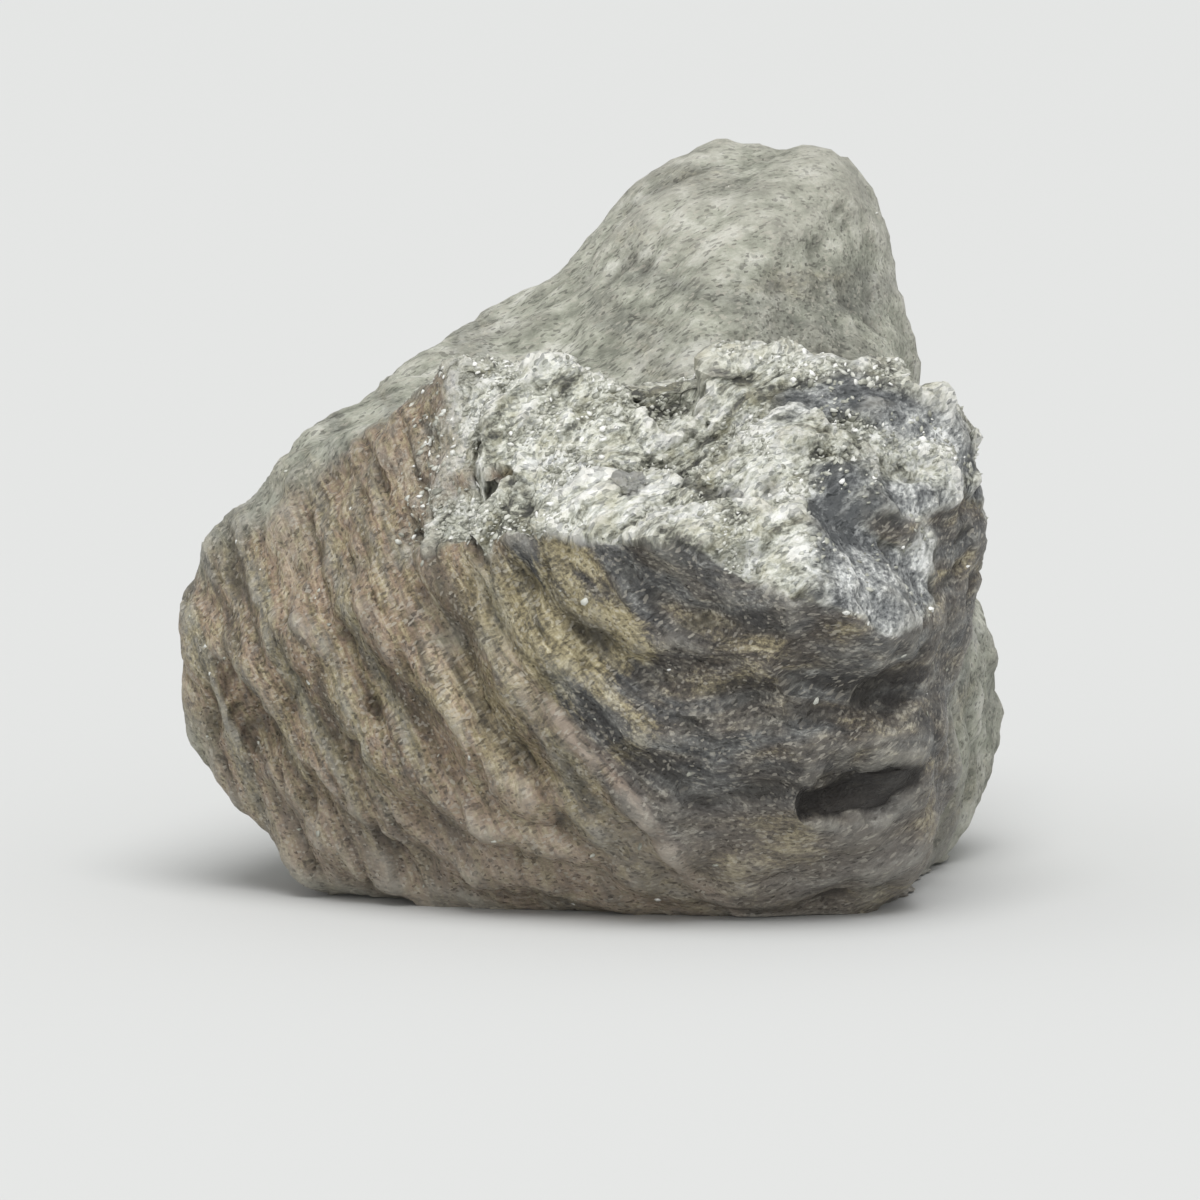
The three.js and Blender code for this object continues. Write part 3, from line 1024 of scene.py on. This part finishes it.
def make_stone(glitter):
    """The stone itself. Returns its surface, its masks and its places in the fabric."""
    surface = Surface()
    surface.relax(ROUNDING)
    masks = masks_of(surface)
    give_form(surface, masks)
    fabric, streaks = give_relief(surface, masks)
    surface.places = fitted(surface.places)
    near = surface.sunk(NEAR_ROUNDS)
    wide = surface.sunk(WIDE_ROUNDS)
    # Painted shade goes where the surface is sunk, and crests are painted paler
    groove_shade = NEAR_SHARE * smoothstep(near, *NEAR_BEND) + WIDE_SHARE * smoothstep(wide, *WIDE_GROOVE)
    crest = NEAR_SHARE * smoothstep(-near, *NEAR_BEND) + WIDE_SHARE * smoothstep(-wide, *WIDE_CREST)
    mesh = mesh_of("schist_stone", surface.places, surface.triangles)
    stored = {**masks, "fabric": fabric, "streaks": streaks, "groove_shade": groove_shade, "crest": crest}
    for name, values in stored.items():
        attribute(mesh, name, values)
    mesh.polygons.foreach_set("use_smooth", np.ones(len(surface.triangles), dtype=bool))
    mesh.set_sharp_from_angle(angle=SHARP_ANGLE)
    stone = piece_of(mesh, schist_material(glitter))
    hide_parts(STONE)
    return surface, masks, fabric


def plate_triangles():
    """The triangles of one plate, whose points are its upper rim and then its lower rim."""
    triangles = []
    for i in range(1, FLAKE_SIDES - 1):
        triangles.append((0, i, i + 1))
    for i in range(1, FLAKE_SIDES - 1):
        triangles.append((FLAKE_SIDES, FLAKE_SIDES + i + 1, FLAKE_SIDES + i))
    for i in range(FLAKE_SIDES):
        after = (i + 1) % FLAKE_SIDES
        triangles.append((i, FLAKE_SIDES + i, FLAKE_SIDES + after))
        triangles.append((i, FLAKE_SIDES + after, after))
    return np.array(triangles)


def flake_weights(surface, masks, corners, across):
    """How likely each triangle of the surface is to hold a flake."""
    clumps = smoothstep(lumps(surface.places, *FLAKE_CLUMPS), *FLAKE_CLUMP_EDGE)
    share = masks["split"] * (1 - FLAKE_FEWER_ON_SLATE * masks["slate"]) * clumps + FLAKE_ELSEWHERE
    share = (share * (1 - masks["hollow"]))[surface.triangles].mean(axis=1)
    low, high = (np.array(corner) / MM for corner in cad_box)
    inside = ((corners > low + FLAKE_MARGIN) & (corners < high - FLAKE_MARGIN)).all(axis=(1, 2))
    weight = np.linalg.norm(across, axis=1) * share * inside
    return weight / weight.sum()


def make_flakes(surface, masks, fabric, glitter):
    """Flakes of mica: small six-sided plates that lie in the surface, most of them on the split face."""
    random = np.random.default_rng(FLAKE_SEED)
    corners = surface.places[surface.triangles]
    across = np.cross(corners[:, 1] - corners[:, 0], corners[:, 2] - corners[:, 0])
    weight = flake_weights(surface, masks, corners, across)
    picked = random.choice(len(weight), FLAKES, p=weight)
    parts = random.dirichlet((1, 1, 1), FLAKES)[:, :, None]
    out = unit(across[picked])
    sink = out * random.uniform(-FLAKE_SINK, FLAKE_SINK, (FLAKES, 1))
    middle = ((corners[picked] * parts).sum(axis=1) + sink)[:, None, :]
    home = (fabric[surface.triangles[picked]] * parts).sum(axis=1)
    up = unit(out + FLAKE_SHEETS * SHEET_NORMAL + FLAKE_LEAN * random.normal(size=(FLAKES, 3)))
    along = GRAIN_ALONG + FLAKE_STRAY * random.normal(size=(FLAKES, 3))
    along = unit(along - up * (along * up).sum(axis=1, keepdims=True))
    beside = np.cross(up, along)
    size = random.uniform(*FLAKE_SIZE, (FLAKES, 1)) * random.uniform(*FLAKE_SHORTER, (FLAKES, 1))
    slim = random.uniform(*FLAKE_SLIM, (FLAKES, 1))
    rim = []
    for turn in range(FLAKE_SIDES):
        angle = (turn + random.uniform(-FLAKE_TURN, FLAKE_TURN, (FLAKES, 1))) * 2 * math.pi / FLAKE_SIDES
        reach = size * random.uniform(*FLAKE_REACH, (FLAKES, 1))
        rim.append(along * reach * np.cos(angle) + beside * reach * slim * np.sin(angle))
    rim = middle + np.stack(rim, axis=1)
    thick = (up * FLAKE_THICKNESS / 2)[:, None, :]
    plates = np.concatenate((rim + thick, rim - thick), axis=1)
    points = plates.shape[1]
    triangles = plate_triangles() + points * np.arange(FLAKES)[:, None, None]
    mesh = mesh_of("mica_flakes", plates.reshape(-1, 3), triangles.reshape(-1, 3))
    attribute(mesh, "fabric", np.repeat(home, points, axis=0))
    attribute(mesh, "shade", np.repeat(random.uniform(0, 1, FLAKES), points))
    piece_of(mesh, mica_material(glitter))


def pale_material():
    material = bpy.data.materials.new("pale_card")
    material.use_nodes = True
    shader = material.node_tree.nodes["Principled BSDF"]
    shader.inputs["Base Color"].default_value = FLOOR_COLOUR
    shader.inputs["Roughness"].default_value = 1
    shader.inputs["Specular IOR Level"].default_value = 0
    return material


def make_stage():
    """A wide pale floor that the stone rests on."""
    mesh = bpy.data.meshes.new("pale_floor")
    corners = ((-1, -1), (1, -1), (1, 1), (-1, 1))
    mesh.from_pydata([(x * FLOOR_HALF, y * FLOOR_HALF, 0) for x, y in corners], [], [(0, 1, 2, 3)])
    mesh.materials.append(pale_material())
    floor = bpy.data.objects.new("pale_floor", mesh)
    bpy.context.scene.collection.objects.link(floor)


def facing_along(direction):
    """The turn of a camera or lamp that looks that way."""
    return Vector(direction).to_track_quat("-Z", "Y").to_euler()


def make_camera():
    camera = bpy.data.objects.new("camera", bpy.data.cameras.new("camera"))
    camera.data.lens = CAMERA_LENS
    camera.data.sensor_width = CAMERA_SENSOR
    camera.data.clip_start = CAMERA_NEAREST
    back = Vector((0, -math.cos(CAMERA_ELEVATION), math.sin(CAMERA_ELEVATION)))
    camera.location = CAMERA_TARGET + back * CAMERA_DISTANCE
    camera.rotation_euler = facing_along(-back)
    bpy.context.scene.collection.objects.link(camera)
    bpy.context.scene.camera = camera


def make_lamp(name, kind, energy, place):
    """A lamp that shines from its place towards the middle of the floor."""
    light = bpy.data.lights.new(name, kind)
    light.energy = energy
    lamp = bpy.data.objects.new(name, light)
    lamp.location = place
    lamp.rotation_euler = facing_along(-Vector(place))
    bpy.context.scene.collection.objects.link(lamp)
    return light


def make_lights():
    world = bpy.data.worlds.new("soft_room")
    world.use_nodes = True
    background = world.node_tree.nodes["Background"]
    background.inputs["Color"].default_value = ROOM_COLOUR
    background.inputs["Strength"].default_value = ROOM_LIGHT
    bpy.context.scene.world = world
    overhead = make_lamp("overhead", "SUN", OVERHEAD_LIGHT, OVERHEAD_FROM)
    overhead.angle = OVERHEAD_SPREAD
    card = make_lamp("front_card", "AREA", FRONT_LIGHT, FRONT_FROM)
    card.shape = "RECTANGLE"
    card.size, card.size_y = FRONT_CARD
    bpy.context.scene.view_settings.view_transform = "Standard"


make_camera()
make_stage()
make_lights()
glitter = glitter_group()
make_flakes(*make_stone(glitter), glitter)
